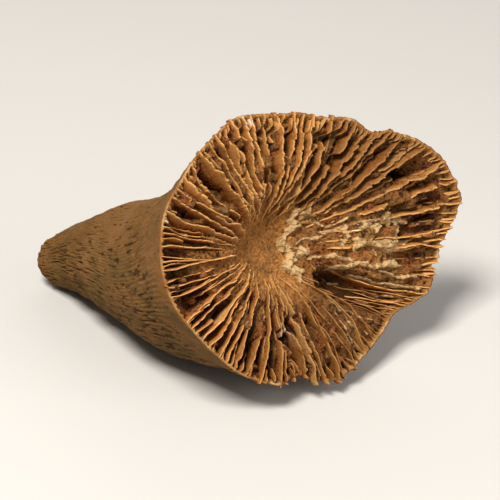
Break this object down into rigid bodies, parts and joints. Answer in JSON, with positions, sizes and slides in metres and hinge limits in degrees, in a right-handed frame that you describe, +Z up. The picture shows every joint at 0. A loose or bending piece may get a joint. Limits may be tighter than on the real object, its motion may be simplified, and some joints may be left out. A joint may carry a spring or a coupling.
{
  "type": "fossil horn coral",
  "caption": "Solitary fossil horn coral lying on its belly: a curved ribbed horn that opens to a lobed cup filled with radiating septa.",
  "frame": {"origin": "on the resting surface, under the middle of the coral's bounding box", "axes": "+X level along the horn from the blunt tip to the open cup, +Z up as the coral lies, +Y completes a right-handed frame and points away from the side the cup is turned to"},
  "size_m": [0.0728, 0.0674, 0.0506],
  "materials": {
    "coral_stone": "matte"
  },
  "bodies": {
    "root": {"corallum": "coral_stone"}
  },
  "joints": []
}
